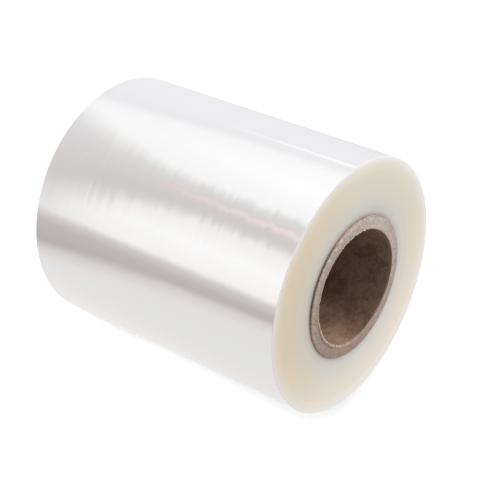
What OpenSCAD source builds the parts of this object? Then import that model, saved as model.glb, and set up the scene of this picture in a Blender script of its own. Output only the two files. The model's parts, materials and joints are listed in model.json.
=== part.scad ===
// A roll of sealing film, wound tight on a paperboard core.
// The roll stands on one end of its core, with its axis along +Z.

/* [Core] */
// Diameter of the core's bore
core_bore_d = 76.2; // [50:0.1:100]
// Thickness of the core's wall
core_wall = 8; // [3:0.5:15]
// How far the core stands out of the winding at each end
core_proud = 1.2; // [0.4:0.1:6]
// Bevel worn on the outer edge of each end of the core
core_bevel = 0.3; // [0.1:0.05:1]

/* [Film] */
// Outside diameter of the winding
film_od = 165; // [135:1:260]
// Width of the film, from one end face of the winding to the other
film_w = 190.5; // [80:0.5:400]
// Radius along the outer edge of each end face
film_edge_r = 0.4; // [0.1:0.1:4]
// Thickness of the film, which is the step where the last turn ends
film_t = 0.1; // [0.05:0.05:0.6]
// Direction of the last turn's end, counted from +X
film_end_angle = 60; // [0:5:355]

/* [Winding lines] */
// Number of winding lines on each end face
line_n = 8; // [0:1:14]
// Width of a winding line at the face
line_w = 0.6; // [0.2:0.1:2]
// Depth of a winding line
line_depth = 0.15; // [0.05:0.05:0.5]
// How unevenly the winding lines are spread, where 0 is evenly
line_scatter = 0.3; // [0:0.05:0.4]

/* [Hidden] */
$fn = 180;
core_r = core_bore_d / 2 + core_wall;
core_len = film_w + 2 * core_proud;
bevel = min(core_bevel, core_proud, core_wall / 3);
film_r = film_od / 2;
face_low = core_proud;
face_high = core_proud + film_w;
// Length that a cutting tool runs past the surface it cuts
clear = 1;

// The tube's wall seen in section, with its two outer edges bevelled
module core_section() {
    bore_r = core_bore_d / 2;
    polygon([
        [bore_r, 0],
        [core_r - bevel, 0],
        [core_r, bevel],
        [core_r, core_len - bevel],
        [core_r - bevel, core_len],
        [bore_r, core_len]
    ]);
}

module paperboard_core() {
    color([0.71, 0.65, 0.60])
        rotate_extrude()
            core_section();
}

// Half of the winding seen in section, from the axis out to radius r
module winding_section(r) {
    translate([0, face_low])
        square([r - film_edge_r, film_w]);
    translate([0, face_low + film_edge_r])
        square([r, film_w - 2 * film_edge_r]);
    for (z = [face_low + film_edge_r, face_high - film_edge_r])
        translate([r - film_edge_r, z])
            circle(film_edge_r);
}

// The outside of the turns is a spiral made of two half turns. The second half turn is
// centred half a film off the axis, so the two meet flush on one side, and on the other
// side the last turn ends one film thickness proud of the turn below it.
module turns() {
    rotate_extrude(angle = 180)
        half_plane() winding_section(film_r);
    translate([film_t / 2, 0, 0])
        rotate(180)
            rotate_extrude(angle = 180)
                half_plane() winding_section(film_r - film_t / 2);
}

// Keeps the part of a section that lies on the axis or to its right
module half_plane() {
    intersection() {
        children();
        square([film_r + clear, face_high + clear]);
    }
}

// Radius of winding line i on one end face. The seed makes the two faces differ.
function line_radius(i, seed) =
    core_r + (film_r - core_r) * (i + 1 + line_scatter * sin(137 * i + seed)) / (line_n + 1);

// Fine rings where the winding's tension changed, cut into the face at height z
module winding_lines(z, seed) {
    if (line_n > 0)
        for (i = [0 : line_n - 1])
            translate([0, 0, z])
                rotate_extrude()
                    translate([line_radius(i, seed), 0])
                        polygon([[-line_w / 2, 0], [0, -line_depth], [line_w / 2, 0], [0, line_depth]]);
}

module film_winding() {
    color([0.93, 0.92, 0.89])
        rotate(film_end_angle - 180)
            difference() {
                turns();
                translate([0, 0, face_low - clear])
                    cylinder(r = core_r, h = film_w + 2 * clear);
                winding_lines(face_low, 20);
                winding_lines(face_high, 75);
            }
}

paperboard_core();
film_winding();
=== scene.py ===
import json
import math

import bmesh
import bpy
from mathutils import Matrix, Vector, noise


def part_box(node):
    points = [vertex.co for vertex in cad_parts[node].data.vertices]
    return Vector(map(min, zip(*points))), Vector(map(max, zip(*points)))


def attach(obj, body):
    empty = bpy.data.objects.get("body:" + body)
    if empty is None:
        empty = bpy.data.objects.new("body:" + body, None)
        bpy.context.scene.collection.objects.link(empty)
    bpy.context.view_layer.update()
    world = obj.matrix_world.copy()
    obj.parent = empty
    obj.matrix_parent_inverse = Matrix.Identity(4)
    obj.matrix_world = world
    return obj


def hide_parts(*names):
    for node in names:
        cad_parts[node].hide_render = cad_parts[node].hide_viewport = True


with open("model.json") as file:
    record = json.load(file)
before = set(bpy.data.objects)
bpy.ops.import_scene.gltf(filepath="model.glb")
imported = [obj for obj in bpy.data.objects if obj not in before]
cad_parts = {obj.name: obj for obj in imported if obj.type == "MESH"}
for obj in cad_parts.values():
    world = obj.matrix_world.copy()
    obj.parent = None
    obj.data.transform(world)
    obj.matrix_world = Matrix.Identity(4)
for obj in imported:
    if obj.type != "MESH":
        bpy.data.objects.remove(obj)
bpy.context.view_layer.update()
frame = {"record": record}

MM = 0.001

# Sizes that the frame gives
film_low, film_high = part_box("film_winding")
core_low, core_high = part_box("paperboard_core")
FILM_R = film_high.x
FILM_BASE = film_low.z
FILM_TOP = film_high.z
FILM_W = FILM_TOP - FILM_BASE
CORE_R = core_high.x
CORE_TOP = core_high.z
BORE_R = frame["record"]["mounts"][0]["dims"]["r_mm"] * MM

# Sizes of the film's edges
FILM_T = 0.1 * MM
FILM_EDGE = 0.4 * MM
FILM_END = math.radians(60)
EDGE_HOLD = 0.2 * MM

# Sizes of the core's worn ends
CORE_BEVEL = 0.3 * MM
LIP_WEAR = 0.35 * MM
LIP_BITE = 1.1 * MM
LIP_SWELL = 1.3 * MM
LIP_RAG = 0.3 * MM
LIP_RAG_MORE = 0.5 * MM
CUT_ROUGH = 0.12 * MM
TEAR_W = 0.6 * MM
TEAR_DROP = 0.15 * MM
PLY_T = 1.0 * MM
FLAP_T = 2.2 * MM
PLY_GAP = 0.22 * MM
PLY_GAP_DEPTH = 0.9 * MM
FLAP_LEAN = 0.8 * MM
FLAP_DEPTH = 12 * MM
FLAP_FROM, FLAP_FULL, FLAP_HOLD, FLAP_TO = (math.radians(a) for a in (-60, -25, 0, 25))
LOWER_LIP = 1 * MM
# Where the inner edge is bitten, swollen and most ragged, as direction and reach in degrees
BITE_AT = (118, 52)
SWELL_AT = (-148, 70)
RAGGED_AT = (-110, 100)

# Camera, which looks down at the standing roll and is turned on its side
AIM = Vector((-0.0016, -0.0002, 0.1054))
CAM_DISTANCE = 0.8593
CAM_ELEVATION = math.radians(32.61)
CAM_ROLL = math.radians(111.69)
CAM_LENS = 98.68
CAM_SENSOR = 36.0


def linear(*code):
    """The linear colour that renders as this sRGB colour of 0 to 255."""
    return [c / 3294.6 if c <= 10 else ((c / 255 + 0.055) / 1.055) ** 2.4 for c in code] + [1]


def smooth(x):
    """An even rise from 0 to 1 as x goes from 0 to 1."""
    x = min(max(x, 0), 1)
    return x * x * (3 - 2 * x)


def make_camera():
    data = bpy.data.cameras.new("camera")
    data.lens = CAM_LENS
    data.sensor_width = CAM_SENSOR
    cam = bpy.data.objects.new("camera", data)
    ce, se = math.cos(CAM_ELEVATION), math.sin(CAM_ELEVATION)
    cr, sr = math.cos(CAM_ROLL), math.sin(CAM_ROLL)
    forward = Vector((0, ce, -se))
    level, upright = Vector((1, 0, 0)), Vector((0, se, ce))
    right = cr * level + sr * upright
    up = -sr * level + cr * upright
    turn = Matrix((right, up, -forward)).transposed().to_4x4()
    cam.matrix_world = Matrix.Translation(AIM - forward * CAM_DISTANCE) @ turn
    bpy.context.scene.collection.objects.link(cam)
    bpy.context.scene.camera = cam
    return cam


# Meshes
class Section:
    """The outline of one column of a tube, point by point, with the material that follows each point."""

    def __init__(self):
        self.points = []
        self.tags = []

    def add(self, radius, z, tag):
        self.points.append((radius, z))
        self.tags.append(tag)


def spread(start, end, count):
    """count values from start up to, and without, end."""
    return [start + (end - start) * i / count for i in range(count)]


def tube(name, columns, section, start=0.0):
    """A closed mesh, turned from section(angle, share of the turn). Its last column lies at the
    first one's angle, and where the two differ, a step joins them."""
    verts, rows = [], []
    for c in range(columns + 1):
        share = c / columns
        angle = start + 2 * math.pi * (share if c < columns else 0)
        outline = section(angle, share)
        row = []
        for i, (radius, z) in enumerate(outline.points):
            place = Vector((radius * math.cos(angle), radius * math.sin(angle), z))
            if c == columns and (place - verts[rows[0][i]]).length < 1e-7:
                row.append(rows[0][i])
            else:
                row.append(len(verts))
                verts.append(place)
        rows.append(row)
    rows.append(rows[0])
    faces, tags = [], []
    for here, there in zip(rows, rows[1:]):
        for i, tag in enumerate(outline.tags):
            j = (i + 1) % len(outline.tags)
            corners = list(dict.fromkeys((here[i], there[i], there[j], here[j])))
            if len(corners) > 2:
                faces.append(corners)
                tags.append(tag)
    mesh = bpy.data.meshes.new(name)
    mesh.from_pydata(verts, [], faces)
    mesh.polygons.foreach_set("material_index", tags)
    bm = bmesh.new()
    bm.from_mesh(mesh)
    bmesh.ops.recalc_face_normals(bm, faces=bm.faces)
    bm.to_mesh(mesh)
    bm.free()
    mesh.polygons.foreach_set("use_smooth", [True] * len(faces))
    mesh.set_sharp_from_angle(angle=math.radians(40))
    return mesh


def add_piece(mesh, materials, node):
    piece = bpy.data.objects.new(mesh.name, mesh)
    for material in materials:
        mesh.materials.append(material)
    bpy.context.scene.collection.objects.link(piece)
    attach(piece, "root")
    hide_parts(node)


SIDE, END = 0, 1


def film_radius(share):
    """The outside of the turns, at that share of a turn from the film's free end: a spiral of two
    half turns, as in the solid."""
    if share > 0.5:
        return FILM_R
    half, shift = FILM_R - FILM_T / 2, FILM_T / 2
    a = math.pi + 2 * math.pi * share
    return shift * math.cos(a) + math.sqrt(half ** 2 - (shift * math.sin(a)) ** 2)


def film_section(angle, share):
    outline = Section()
    outer = film_radius(share)
    rim = FILM_R - FILM_T - FILM_EDGE
    low, high = FILM_BASE + FILM_EDGE, FILM_TOP - FILM_EDGE
    for radius in spread(CORE_R, rim, 12) + [rim]:
        outline.add(radius, FILM_BASE, END)
    for i, a in enumerate(spread(0, math.pi / 2, 6)):
        tag = END if i < 3 else SIDE
        outline.add(outer - FILM_EDGE * (1 - math.sin(a)), low - FILM_EDGE * math.cos(a), tag)
    outline.add(outer, low, SIDE)
    for z in spread(low + EDGE_HOLD, high - EDGE_HOLD, 40) + [high - EDGE_HOLD]:
        outline.add(outer, z, SIDE)
    for i, a in enumerate(spread(0, math.pi / 2, 6)):
        tag = SIDE if i < 3 else END
        outline.add(outer - FILM_EDGE * (1 - math.cos(a)), high + FILM_EDGE * math.sin(a), tag)
    outline.add(outer - FILM_EDGE, FILM_TOP, END)
    for radius in spread(rim, CORE_R, 12) + [CORE_R]:
        outline.add(radius, FILM_TOP, END)
    return outline


CUT, TORN, OUTER, BORE = 0, 1, 2, 3


def flap(angle):
    """How far the inner ply leans into the bore at the upper end, from 0 to 1."""
    a = (angle + math.pi) % (2 * math.pi) - math.pi
    return smooth((a - FLAP_FROM) / (FLAP_FULL - FLAP_FROM)) * smooth((FLAP_TO - a) / (FLAP_TO - FLAP_HOLD))


def patch(angle, degrees, width):
    """1 at that many degrees from +X, and falling evenly to 0 at width degrees away on each side."""
    a = math.degrees(angle) - degrees
    return smooth(1 - abs((a + 180) % 360 - 180) / width)


def ragged(angle, scale, seed):
    """An uneven value about 0 that runs evenly round the tube."""
    return noise.noise(Vector((math.cos(angle) * scale, math.sin(angle) * scale, seed)))


def lip(angle, lean):
    """How much further out the bore's edge lies at the core's ends. It is negative where the board
    is swollen or leans in."""
    return LIP_BITE * patch(angle, *BITE_AT) - LIP_SWELL * patch(angle, *SWELL_AT) - FLAP_LEAN * lean


def cut_end(angle, seed, lean):
    """One sawn end of the core, from its outer bevel to its torn inner edge, as points of radius
    and depth below the end."""
    worn = 0.6 * ragged(angle, 6, seed) + ragged(angle, 22, seed) + 0.7 * ragged(angle, 60, seed)
    rag = LIP_RAG + LIP_RAG_MORE * patch(angle, *RAGGED_AT)
    edge = BORE_R + LIP_WEAR + lip(angle, lean) + rag * worn
    crack = edge + PLY_T + (FLAP_T - PLY_T) * lean ** 2
    points = [(CORE_R - CORE_BEVEL, 0)]
    for radius in spread(CORE_R - CORE_BEVEL, crack + PLY_GAP, 12)[1:]:
        fibre = noise.noise(Vector((math.cos(angle) * 40, math.sin(angle) * 40, radius / MM + seed)))
        points.append((radius, CUT_ROUGH * max(0, fibre)))
    points.append((crack + PLY_GAP, 0))
    points.append((crack, PLY_GAP_DEPTH * min(1, 2 * lean) * (0.75 + ragged(angle, 30, seed + 5))))
    points.append((crack - PLY_GAP, 0.05 * MM))
    points.append((edge + TEAR_W, 0.03 * MM))
    points.append((edge, TEAR_DROP * (1 + ragged(angle, 50, seed + 9))))
    return points


def core_section(angle, share):
    outline = Section()
    lean = flap(angle)
    lower = cut_end(angle, 3.3, 0)
    upper = cut_end(angle, 8.1, lean)
    for radius, depth in reversed(lower):
        outline.add(radius, depth, CUT)
    outline.tags[0] = TORN
    outline.tags[-1] = OUTER
    for z in spread(CORE_BEVEL, CORE_TOP - CORE_BEVEL, 4) + [CORE_TOP - CORE_BEVEL]:
        outline.add(CORE_R, z, OUTER)
    for radius, depth in upper:
        outline.add(radius, CORE_TOP - depth, CUT)
    outline.tags[-2:] = [TORN, TORN]
    wide = lip(angle, lean)
    torn = upper[-1][0] - BORE_R - wide
    for depth in (0.5, 1, 2, 4, 6, 8, 10):
        radius = BORE_R + wide * (1 - depth * MM / FLAP_DEPTH) ** 2 + torn * math.exp(-1.8 * depth)
        outline.add(radius, CORE_TOP - depth * MM, BORE)
    for z in spread(CORE_TOP - FLAP_DEPTH, LOWER_LIP, 60) + [LOWER_LIP]:
        outline.add(BORE_R, z, BORE)
    return outline


# Materials
class Tree:
    """Short calls that add nodes to a material or a world and link them. Each gives a socket."""

    def __init__(self, owner):
        owner.use_nodes = True
        self.nodes = owner.node_tree.nodes
        self.links = owner.node_tree.links

    def feed(self, socket, value):
        if isinstance(value, bpy.types.NodeSocket):
            self.links.new(value, socket)
        else:
            socket.default_value = value

    def add(self, kind, inputs, **settings):
        node = self.nodes.new("ShaderNode" + kind)
        for key, value in settings.items():
            setattr(node, key, value)
        for key, value in inputs.items():
            self.feed(node.inputs[key], value)
        return node

    def math(self, operation, *values):
        return self.add("Math", dict(enumerate(values)), operation=operation).outputs[0]

    def vector(self, operation, *values):
        if operation == "SCALE":
            return self.add("VectorMath", {0: values[0], 3: values[1]}, operation=operation).outputs[0]
        node = self.add("VectorMath", dict(enumerate(values)), operation=operation)
        return node.outputs["Value" if operation in ("LENGTH", "DOT_PRODUCT", "DISTANCE") else "Vector"]

    def noise(self, place, detail=2.0, roughness=0.5):
        inputs = {"Vector": place, "Scale": 1.0, "Detail": detail, "Roughness": roughness}
        return self.add("TexNoise", inputs).outputs["Fac"]

    def rescale(self, value, low, high, to_low=0.0, to_high=1.0, smoothly=False):
        kind = "SMOOTHSTEP" if smoothly else "LINEAR"
        inputs = {0: value, 1: low, 2: high, 3: to_low, 4: to_high}
        return self.add("MapRange", inputs, interpolation_type=kind).outputs[0]

    def mix(self, factor, a, b, blend="MIX"):
        node = self.add("Mix", {}, data_type="RGBA", blend_type=blend)
        for index, value in ((0, factor), (6, a), (7, b)):
            self.feed(node.inputs[index], value)
        return node.outputs[2]

    def shade(self, colour, amount):
        """The colour made brighter or darker by a factor."""
        return self.mix(1.0, colour, amount, "MULTIPLY")

    def cells(self, place, per_metre, detail=2.0, roughness=0.5):
        """A noise with that many cells per metre."""
        return self.noise(self.vector("MULTIPLY", place, (per_metre,) * 3), detail, roughness)

    def swing(self, value, reach, middle=0.0):
        """A noise's usual range, spread over middle - reach to middle + reach."""
        return self.rescale(value, 0.3, 0.7, middle - reach, middle + reach)

    def ramp(self, value, stops):
        node = self.add("ValToRGB", {0: value})
        elements = node.color_ramp.elements
        elements.remove(elements[1])
        for i, (place, colour) in enumerate(stops):
            element = elements[0] if i == 0 else elements.new(place)
            element.position = place
            element.color = colour
        return node.outputs[0]

    def bump(self, height, distance):
        return self.add("Bump", {"Height": height, "Distance": distance}).outputs["Normal"]


class Round:
    """Where a spot of a round piece lies: its radius, its height and its direction from the axis."""

    def __init__(self, tree):
        self.place = tree.add("TexCoord", {}).outputs["Object"]
        parts = tree.add("SeparateXYZ", {0: self.place}).outputs
        flat = tree.add("CombineXYZ", {0: parts[0], 1: parts[1], 2: 0.0}).outputs[0]
        self.z = parts[2]
        self.radius = tree.vector("LENGTH", flat)
        self.direction = tree.vector("NORMALIZE", flat)
        self.tree = tree

    def toward(self, degrees):
        """1 on the side at that angle from +X, and -1 on the side away from it."""
        a = math.radians(degrees)
        return self.tree.vector("DOT_PRODUCT", self.direction, (math.cos(a), math.sin(a), 0))

    def stretched(self, across, around, along):
        """A place for a noise, with so many cells per metre of radius, per radian and per metre of
        height."""
        tree = self.tree
        up, out = tree.math("MULTIPLY", self.z, along), tree.math("MULTIPLY", self.radius, across)
        wide = tree.vector("MULTIPLY", self.direction, (around, around, 0))
        return tree.vector("ADD", wide, tree.add("CombineXYZ", {2: tree.math("ADD", up, out)}).outputs[0])


def new_material(name):
    material = bpy.data.materials.new(name)
    tree = Tree(material)
    return material, tree, tree.nodes["Principled BSDF"]


# The film's side: its turns don't lie quite level, so it mirrors in fine bands round the roll,
# and one turn has a crease
BANDS_PER_M = 230
TILT_ALONG = 0.02
TILT_AROUND = (0.007, 0.05)
TILT_AT_BASE = 1.6
CREASE_Z = FILM_BASE + 0.196 * FILM_W
CREASE_WIDTH = 0.5 * MM
CREASE_TILT = 0.06


def film_side_material():
    material, tree, shader = new_material("film_side")
    spot = Round(tree)
    level = tree.noise(spot.stretched(0, 1.0, BANDS_PER_M), 1.0)
    sway = tree.noise(spot.stretched(0, 1.3, BANDS_PER_M * 1.25), 2.0)
    off = tree.math("ABSOLUTE", tree.math("SUBTRACT", spot.z, CREASE_Z))
    crease = tree.rescale(off, 0, CREASE_WIDTH, CREASE_TILT, 0, True)
    rise = tree.math("ADD", tree.rescale(level, 0, 1, -TILT_ALONG, TILT_ALONG), crease)
    around = tree.vector("CROSS_PRODUCT", (0, 0, 1), spot.direction)
    reach = tree.rescale(spot.toward(-94), 0.914, 0.974, *TILT_AROUND, True)
    near_base = tree.rescale(spot.z, FILM_BASE, FILM_BASE + 0.35 * FILM_W, TILT_AT_BASE, 1)
    sway = tree.math("MULTIPLY", tree.rescale(sway, 0, 1, -1, 1), near_base)
    around = tree.vector("SCALE", around, tree.math("MULTIPLY", sway, reach))
    calm = tree.rescale(tree.math("ABSOLUTE", spot.toward(-90)), 0.1, 0.5, 0.15, 1)
    tilt = tree.vector("ADD", around, tree.add("CombineXYZ", {2: rise}).outputs[0])
    tilt = tree.vector("SCALE", tilt, calm)
    normal = tree.vector("ADD", tree.add("NewGeometry", {}).outputs["Normal"], tilt)
    broad = tree.noise(spot.stretched(0, 1.5, 55), 2.0)
    # A faint random tone, with painted shade that darkens the base colour along the crease.
    tone = tree.math("SUBTRACT", tree.swing(broad, 0.005, 1.0), tree.math("MULTIPLY", crease, 0.4))
    tree.feed(shader.inputs["Base Color"], tree.shade((0.9, 0.885, 0.88, 1), tone))
    tree.feed(shader.inputs["Metallic"], 0.5)
    tree.feed(shader.inputs["Roughness"], tree.swing(broad, 0.005, 0.05))
    tree.feed(shader.inputs["Normal"], tree.vector("NORMALIZE", normal))
    return material


# The film's end faces: the edges of the turns, waxy and a little yellow, and greyer by the core
# Radial colours, with painted shade darkening the innermost turns by the core's raised lip and a painted
# highlight on the outer rim
WAX_SHADE_AND_HIGHLIGHT = [
    (0.560, linear(168, 160, 151)),
    (0.590, linear(196, 192, 184)),
    (0.640, linear(208, 204, 193)),
    (0.760, linear(217, 208, 192)),
    (0.890, linear(224, 213, 196)),
    (0.950, linear(229, 222, 209)),
    (0.995, linear(238, 236, 234)),
]


def film_end_material():
    material, tree, shader = new_material("film_end")
    spot = Round(tree)
    share = tree.math("DIVIDE", spot.radius, FILM_R)
    colour = tree.ramp(share, WAX_SHADE_AND_HIGHLIGHT)
    outward = tree.rescale(share, 0.5, 0.82)
    # Painted light: the outer turns are paler toward 50 degrees, as where light shines through the film.
    pale = tree.mix(tree.rescale(spot.toward(50), -0.2, 1), (0.98, 0.982, 0.975, 1), (1.1, 1.105, 1.135, 1))
    painted_light_share = tree.math("MINIMUM", outward, tree.rescale(share, 0.93, 0.99, 1, 0))
    colour = tree.shade(colour, tree.mix(painted_light_share, (1, 1, 1, 1), pale))
    # Painted shade: the outer turns are warmer and darker toward -68 degrees.
    warm = tree.mix(tree.rescale(share, 0.93, 0.985), (0.945, 0.89, 0.81, 1), (0.91, 0.875, 0.87, 1))
    painted_shade_share = tree.math("MULTIPLY", outward, tree.rescale(spot.toward(-68), 0.25, 0.95))
    colour = tree.shade(colour, tree.mix(painted_shade_share, (1, 1, 1, 1), warm))
    rings = tree.noise(spot.stretched(1100, 0.8, 0), 3.0)
    broad = tree.noise(spot.stretched(180, 0.5, 0), 2.0)
    grain = tree.math("ADD", tree.swing(rings, 0.012), tree.swing(broad, 0.01, 1.0))
    tree.feed(shader.inputs["Base Color"], tree.shade(colour, grain))
    tree.feed(shader.inputs["Roughness"], tree.swing(rings, 0.05, 0.47))
    tree.feed(shader.inputs["Specular IOR Level"], 0.35)
    tree.feed(shader.inputs["Normal"], tree.bump(rings, 0.02 * MM))
    return material


# The core's board: grey cut fibres, browner outer ply, torn pale inner edge and a brown liner, with painted
# light and shade round the core
def matt_board(name):
    material, tree, shader = new_material(name)
    tree.feed(shader.inputs["Roughness"], 0.9)
    tree.feed(shader.inputs["Specular IOR Level"], 0.2)
    return material, tree, shader, Round(tree)


def shaded_cut_colour(tree, spot):
    """The grey-brown of the cut, with painted shade: paler toward -X, where the light falls from, and darker
    and browner on the +X side.
    """
    return tree.mix(tree.rescale(spot.toward(-170), -1, 1), linear(157, 136, 123), linear(187, 173, 163))


def cut_board_material():
    material, tree, shader, spot = matt_board("board_cut")
    fibre = tree.cells(spot.place, 1100, 3.0, 0.6)
    fleck = tree.cells(spot.place, 760, 2.0)
    plies = tree.noise(spot.stretched(2400, 14, 0), 2.0)
    blotch = tree.cells(spot.place, 160)
    colour = shaded_cut_colour(tree, spot)
    # Painted shade on the rounded inner edge: the cut darkens toward the bore, most toward -80 degrees.
    edge_shade_tone = tree.rescale(spot.toward(-80), 0, 1, 1.03, 0.8)
    painted_edge_shade = tree.rescale(spot.radius, BORE_R + 1.5 * MM, BORE_R + 4 * MM, edge_shade_tone, 1)
    ragged_r = tree.math("ADD", spot.radius, tree.swing(blotch, 0.35 * MM))
    # The browner outer ply near the rim, laid on strongest toward -82 degrees, where it also stands in as
    # painted shade of the corner by the film's end.
    ply_and_shade_tone = tree.rescale(spot.toward(-82), 0.82, 0.97, 0.1, 0.7)
    outer_ply_and_shade = tree.rescale(ragged_r, CORE_R - 1.2 * MM, CORE_R - 0.5 * MM, 0, ply_and_shade_tone, True)
    colour = tree.mix(outer_ply_and_shade, colour, linear(122, 95, 79))
    # Painted light and shade on the outer band of the cut: lighter toward -95 degrees and darker on the far
    # side.
    rim_shade_tone = tree.rescale(spot.toward(-95), -0.6, 0.8, 0.88, 1.07)
    rim = tree.rescale(ragged_r, CORE_R - 4 * MM, CORE_R - 2 * MM, 0, 1, True)
    colour = tree.shade(colour, tree.add("Mix", {0: rim, 2: 1.0, 3: rim_shade_tone}).outputs[0])
    flecked = tree.math("MULTIPLY", rim, tree.rescale(spot.toward(-130), 0.5, 0.9, 0.15, 0.8))
    flecked = tree.math("MULTIPLY", flecked, tree.rescale(fleck, 0.56, 0.64))
    colour = tree.mix(flecked, colour, linear(232, 222, 212))
    colour = tree.mix(tree.rescale(fleck, 0.40, 0.32, 0, 0.6), colour, linear(110, 86, 72))
    grain = tree.math("ADD", tree.swing(fibre, 0.28), tree.swing(plies, 0.06, 1.0))
    grain = tree.math("ADD", grain, tree.swing(blotch, 0.06))
    colour = tree.shade(tree.shade(colour, painted_edge_shade), grain)
    tree.feed(shader.inputs["Base Color"], colour)
    tree.feed(shader.inputs["Normal"], tree.bump(fibre, 0.25 * MM))
    return material


def torn_board_material():
    material, tree, shader, spot = matt_board("board_torn")
    tear = tree.cells(spot.place, 420, 3.0, 0.6)
    pale = tree.math("MULTIPLY", tree.rescale(tear, 0.42, 0.56), tree.rescale(spot.toward(-60), -0.4, 0.3))
    # Darker brown toward 120 degrees: painted shade along the bore's edge.
    colour = tree.mix(tree.rescale(spot.toward(120), 0.5, 0.95), shaded_cut_colour(tree, spot), linear(112, 88, 74))
    colour = tree.mix(pale, colour, linear(216, 200, 180))
    tree.feed(shader.inputs["Base Color"], colour)
    return material


def outer_board_material():
    material, tree, shader, spot = matt_board("board_outer")
    fibre = tree.cells(spot.place, 900, 3.0)
    colour = tree.mix(tree.rescale(fibre, 0.35, 0.65), linear(112, 90, 77), linear(152, 132, 118))
    # Painted shade: darkest toward -80 degrees, in the corner by the film's end, and much lighter on the
    # other sides.
    colour = tree.shade(colour, tree.rescale(spot.toward(-80), 0.75, 0.95, 1.9, 0.9))
    tree.feed(shader.inputs["Base Color"], colour)
    return material


# Dark specks on the bore's wall, as angle in degrees and depth below the upper end in mm
BORE_SPECKS = [(136, 16.4), (82.8, 9.4), (130.9, 27.2), (135.9, 6.6), (62.4, 35.6)]
SPECK_R = 0.8 * MM


def bore_board_material():
    material, tree, shader, spot = matt_board("board_bore")
    blotch = tree.cells(spot.place, 70, 3.0, 0.6)
    mottle = tree.cells(spot.place, 320, 3.0, 0.6)
    fibre = tree.cells(spot.place, 1100)
    tone = tree.math("ADD", tree.swing(blotch, 0.6, 0.5), tree.swing(mottle, 0.4))
    colour = tree.mix(tone, linear(106, 82, 67), linear(137, 114, 98))
    colour = tree.shade(colour, tree.swing(fibre, 0.12, 1.0))
    # Painted light and shade: the wall is much lighter away from 98 degrees, as where light falls into the
    # bore, and darkest toward 98 degrees.
    colour = tree.shade(colour, tree.rescale(spot.toward(98), 0.3, 0.9, 1.9, 0.95))
    for degrees, depth in BORE_SPECKS:
        a = math.radians(degrees)
        centre = (BORE_R * math.cos(a), BORE_R * math.sin(a), CORE_TOP - depth * MM)
        away = tree.vector("DISTANCE", spot.place, centre)
        colour = tree.shade(colour, tree.rescale(away, SPECK_R * 0.4, SPECK_R, 0.3, 1, True))
    tree.feed(shader.inputs["Base Color"], colour)
    tree.feed(shader.inputs["Normal"], tree.bump(mottle, 0.3 * MM))
    return material


# Stage
FLOOR_SIZE = 30.0
FLOOR_GLOW = 0.36
FLOOR_MATT = 0.3
FLOOR_BOUNCE = 1.05


def make_floor():
    mesh = bpy.data.meshes.new("floor")
    z = -0.05 * MM
    s = FLOOR_SIZE
    mesh.from_pydata([(-s, -s, z), (s, -s, z), (s, s, z), (-s, s, z)], [], [(0, 1, 2, 3)])
    floor = bpy.data.objects.new("floor", mesh)
    material = bpy.data.materials.new("floor")
    tree = Tree(material)
    out = tree.nodes["Material Output"]
    matt = tree.add("BsdfDiffuse", {"Color": (FLOOR_MATT, FLOOR_MATT, FLOOR_MATT, 1)}).outputs[0]
    glow = tree.add("Emission", {"Strength": FLOOR_GLOW}).outputs[0]
    seen = tree.add("AddShader", {0: glow, 1: matt}).outputs[0]
    bounce = tree.add("Emission", {"Strength": FLOOR_BOUNCE}).outputs[0]
    path = tree.add("LightPath", {})
    mix = tree.add("MixShader", {0: path.outputs["Is Camera Ray"], 1: bounce, 2: seen})
    tree.feed(out.inputs["Surface"], mix.outputs[0])
    mesh.materials.append(material)
    bpy.context.scene.collection.objects.link(floor)
    floor.visible_glossy = False
    return floor


def make_world():
    """White where it is seen or mirrored, a little less far below, and as light a soft white that
    is brighter above and on the -X side."""
    world = bpy.data.worlds.new("studio")
    tree = Tree(world)
    up = tree.add("TexCoord", {}).outputs["Generated"]
    lean = tree.vector("DOT_PRODUCT", up, (-0.5, 0, 0.5))
    level = tree.rescale(lean, -0.6, 0.7, 0.38, 0.62)
    ambient = tree.add("Background", {"Color": (1, 1, 1, 1), "Strength": level}).outputs[0]
    height = tree.vector("DOT_PRODUCT", up, (0, 0, 1))
    shade = tree.mix(tree.rescale(height, -0.95, -0.6), (0.72, 0.72, 0.72, 1), (1, 1, 1, 1))
    white = tree.add("Background", {"Color": shade, "Strength": 1.0}).outputs[0]
    path = tree.add("LightPath", {})
    seen = tree.math("MAXIMUM", path.outputs["Is Camera Ray"], path.outputs["Is Glossy Ray"])
    mix = tree.add("MixShader", {0: seen, 1: ambient, 2: white})
    tree.feed(tree.nodes["World Output"].inputs["Surface"], mix.outputs[0])
    bpy.context.scene.world = world


def aim_lamp(name, data, azimuth, elevation, distance):
    """A lamp that faces the middle of the roll and isn't mirrored in it."""
    lamp = bpy.data.objects.new(name, data)
    a, e = math.radians(azimuth), math.radians(elevation)
    toward = Vector((math.cos(a) * math.cos(e), math.sin(a) * math.cos(e), math.sin(e)))
    lamp.location = Vector((0, 0, FILM_TOP / 2)) + toward * distance
    lamp.rotation_mode = "QUATERNION"
    lamp.rotation_quaternion = (-toward).to_track_quat("-Z", "Y")
    lamp.visible_glossy = False
    bpy.context.scene.collection.objects.link(lamp)
    return lamp


def make_side_lamp():
    data = bpy.data.lights.new("side_lamp", "AREA")
    data.shape = "DISK"
    data.size = 0.8
    data.energy = 20.5
    aim_lamp("side_lamp", data, 180, 52, 2.0)


def make_floor_sun(floor):
    """Even light for the floor alone, from just beside the camera, so that the roll casts a shadow."""
    data = bpy.data.lights.new("floor_sun", "SUN")
    data.angle = math.radians(7)
    data.energy = 14
    sun = aim_lamp("floor_sun", data, -96.9, 26, 3.0)
    lit = bpy.data.collections.new("lit_by_floor_sun")
    lit.objects.link(floor)
    sun.light_linking.receiver_collection = lit


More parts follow.
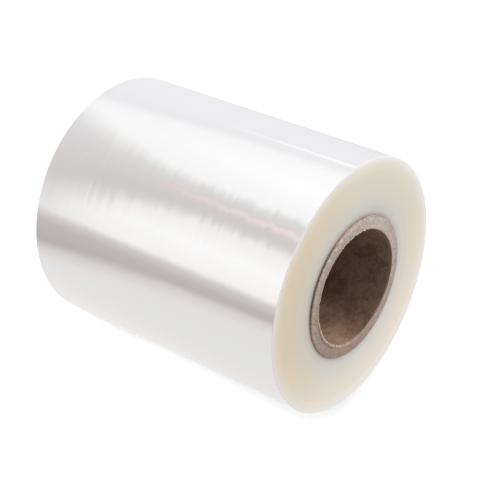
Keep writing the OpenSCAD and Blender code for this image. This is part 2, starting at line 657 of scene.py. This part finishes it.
# Reflectors: each is placed by where its edges show on the side of the roll
def side_point(angle, share):
    a = math.radians(angle)
    normal = Vector((math.cos(a), math.sin(a), 0))
    return normal * FILM_R + Vector((0, 0, FILM_BASE + share * FILM_W)), normal


def mirrored(camera, angle, share, reach):
    """Where the camera's ray to that spot of the side goes on to, at a distance of reach from the axis."""
    spot, normal = side_point(angle, share)
    ray = (spot - camera.matrix_world.translation).normalized()
    ray -= 2 * ray.dot(normal) * normal
    a = ray.x ** 2 + ray.y ** 2
    b = 2 * (spot.x * ray.x + spot.y * ray.y)
    c = spot.x ** 2 + spot.y ** 2 - reach ** 2
    return spot + ray * ((-b + math.sqrt(b * b - 4 * a * c)) / (2 * a))


def along(edge, share):
    """The value at that share of the film's width, from an edge's points (share, value)."""
    if share <= edge[0][0]:
        return edge[0][1]
    for (s0, a0), (s1, a1) in zip(edge, edge[1:]):
        if share <= s1:
            return a0 + (a1 - a0) * (share - s0) / (s1 - s0)
    return edge[-1][1]


# Tints of the studio's light, near the base and from the share FULL_TINT of the width up
COOL = (1, 1.01, 1.09), (1, 1.01, 1.08)
WHITE = (1, 1.02, 1.04), (1, 1.02, 1.03)
CREAM = (1, 0.98, 0.97), (1, 0.96, 0.94)
MILK = (1, 1.01, 1.03), (1, 0.99, 0.985)
WARM = (1, 0.97, 0.96), (1, 0.92, 0.86)
ROSE = (1, 0.81, 0.77), (1, 0.77, 0.72)
FULL_TINT = 0.2

# The studio's light, from one outline of the roll to the other, as the lines where it changes. Each
# has its tint, its strength and the angle round the roll from +X where it shows on the side. The
# last two are points of (share of the film's width, value), and the light runs evenly in between.
# The values were fitted to the streaks in the photo, as seen from its camera.
LINES = [
    (COOL, [(0, 0.66), (1, 0.56)], [(0, -173.4)]),
    (COOL, [(0, 0.84), (1, 0.77)], [(0, -168)]),
    (COOL, [(0, 0.86), (1, 0.83)], [(0, -141)]),
    (COOL, [(0, 0.86), (1, 0.84)], [(0, -132), (0.2, -133), (0.6, -136), (1, -137.5)]),
    (WHITE, [(0, 1.07)], [(0, -126.5), (0.2, -128.5), (0.6, -131.7), (1, -133)]),
    (WHITE, [(0, 1.11), (0.4, 1.17), (1, 1.23)], [(0, -124.5), (0.2, -122), (1, -119.5)]),
    (
        WHITE,
        [(0, 1.06), (0.2, 1.14), (1, 1.16)],
        [(0, -123.5), (0.2, -117), (0.4, -111), (0.6, -108), (1, -107.5)],
    ),
    (
        MILK,
        [(0, 0.7), (0.2, 0.71)],
        [(0, -112), (0.2, -107.5), (0.4, -105.2), (0.7, -103.8), (1, -104.4)],
    ),
    (WARM, [(0, 0.6)], [(0, -95), (0.2, -97), (1, -98)]),
    (WARM, [(0, 0.6)], [(0, -86), (0.1, -89), (0.2, -91), (0.4, -93.7), (0.6, -95.2), (1, -95)]),
    (
        CREAM,
        [(0, 0.73)],
        [(0, -82), (0.1, -85.6), (0.2, -87.6), (0.4, -91), (0.6, -93.6), (1, -93.4)],
    ),
    (
        CREAM,
        [(0, 0.87), (0.2, 1.12)],
        [(0, -75), (0.1, -77.5), (0.2, -80.5), (0.4, -88), (0.6, -90.5), (1, -91.2)],
    ),
    (WHITE, [(0, 0.87), (0.2, 1.15), (0.4, 1.25), (0.6, 1.32)], [(0, -73.6), (0.2, -77), (0.4, -82)]),
    (CREAM, [(0, 0.91), (0.2, 1.14), (0.4, 1.22)], [(0, -72), (1, -72.8)]),
    (WARM, [(0, 0.65)], [(0, -69.4), (1, -70.3)]),
    (ROSE, [(0, 0.41), (0.2, 0.43)], [(0, -66), (1, -67)]),
    (
        ROSE,
        [(0, 0.29), (0.3, 0.33), (1, 0.38)],
        [(0, -56), (0.2, -59), (0.4, -61.6), (0.6, -63.2), (1, -64.8)],
    ),
    (WARM, [(0, 0.71), (0.3, 0.73)], [(0, -51.3), (0.2, -54.6), (0.4, -57), (0.6, -60), (1, -62.3)]),
    (CREAM, [(0, 0.91)], [(0, -46.5), (0.2, -49), (0.4, -53), (1, -58.6)]),
    (WHITE, [(0, 0.9)], [(0, -43)]),
    (CREAM, [(0, 0.98), (1, 0.94)], [(0, -29)]),
    (MILK, [(0, 0.93)], [(0, -8)]),
]
# Narrow panels just in front, from lines as above: a white one and a soft rose one
SLITS = [
    [
        (WHITE, [(0, 1.08)], [(0.5, -140.9), (0.75, -141.5), (1, -141.8)]),
        (WHITE, [(0, 1.08)], [(0.5, -140.7), (0.75, -140.3), (1, -140.1)]),
    ],
    [
        (WARM, [(0, 0.61)], [(0.25, -102.6), (0.6, -102), (1, -102)]),
        (ROSE, [(0.3, 0.62), (0.5, 0.84), (1, 1.06)], [(0.25, -102.6), (0.6, -100.2), (1, -99.8)]),
        (WARM, [(0, 0.6)], [(0.25, -102.6), (0.6, -98.4), (1, -97.8)]),
    ],
]
# Turns, in degrees, by which the panels run on past the two outlines, and then fade to white
PAST_OUTLINE = 2
FADE = 11
SHARES = [-0.5, -0.2, 0, 0.05, 0.1, 0.2, 0.3, 0.4, 0.5, 0.6, 0.7, 0.8, 0.9, 1, 1.3, 1.8, 2.5, 3.5, 5]
REACH = 0.6


def glow_material():
    material = bpy.data.materials.new("studio_panels")
    tree = Tree(material)
    tint = tree.add("VertexColor", {}, layer_name="light").outputs["Color"]
    glow = tree.add("Emission", {"Color": tint}).outputs[0]
    tree.feed(tree.nodes["Material Output"].inputs["Surface"], glow)
    return material


def lit(tint, strength, share):
    near_base, above = tint
    return Vector(near_base).lerp(above, min(max(share / FULL_TINT, 0), 1)) * strength


def turned(place, degrees):
    return Matrix.Rotation(math.radians(degrees), 3, "Z") @ place


def run_on(row):
    """The row of places and lights with both ends carried on past the roll's outlines."""
    (first, first_light), (last, last_light) = row[0], row[-1]
    far, white = PAST_OUTLINE + FADE, Vector((1, 1, 1))
    before = [(turned(first, -far), white), (turned(first, -PAST_OUTLINE), first_light)]
    after = [(turned(last, PAST_OUTLINE), last_light), (turned(last, far), white)]
    return before + row + after


def make_panel(camera, material, name, lines, reach, whole=False):
    """A bent sheet that glows, from its lines of tint, strengths and angles. Only mirrors see it."""
    columns = 8
    verts, faces, lights = [], [], []
    for share in SHARES:
        stops = []
        for tint, strengths, angles in lines:
            stops.append((along(angles, share), lit(tint, along(strengths, share), share)))
        row = []
        for (a0, light0), (a1, light1) in zip(stops, stops[1:]):
            for t in spread(0, 1, columns):
                row.append((mirrored(camera, a0 + (a1 - a0) * t, share, reach), light0.lerp(light1, t)))
        row.append((mirrored(camera, stops[-1][0], share, reach), stops[-1][1]))
        for place, light in run_on(row) if whole else row:
            verts.append(place)
            lights.append(light)
    width = len(verts) // len(SHARES)
    for row in range(len(SHARES) - 1):
        for c in range(width - 1):
            i = row * width + c
            faces.append((i, i + 1, i + width + 1, i + width))
    mesh = bpy.data.meshes.new(name)
    mesh.from_pydata(verts, [], faces)
    layer = mesh.color_attributes.new("light", "FLOAT_COLOR", "POINT")
    for i, light in enumerate(lights):
        layer.data[i].color = (*light, 1)
    mesh.materials.append(material)
    panel = bpy.data.objects.new(name, mesh)
    bpy.context.scene.collection.objects.link(panel)
    panel.visible_camera = False
    panel.visible_diffuse = False
    panel.visible_transmission = False
    panel.visible_shadow = False


def make_reflectors(camera):
    material = glow_material()
    make_panel(camera, material, "studio_panels", LINES, REACH, whole=True)
    for i, lines in enumerate(SLITS):
        make_panel(camera, material, f"slit_{i + 1}", lines, REACH - 2 * MM)


camera = make_camera()
make_world()
make_side_lamp()
make_floor_sun(make_floor())
make_reflectors(camera)
bpy.context.scene.view_settings.view_transform = "Standard"

add_piece(
    tube("film_roll", 640, film_section, FILM_END),
    [film_side_material(), film_end_material()],
    "film_winding",
)
add_piece(
    tube("core_tube", 480, core_section),
    [cut_board_material(), torn_board_material(), outer_board_material(), bore_board_material()],
    "paperboard_core",
)
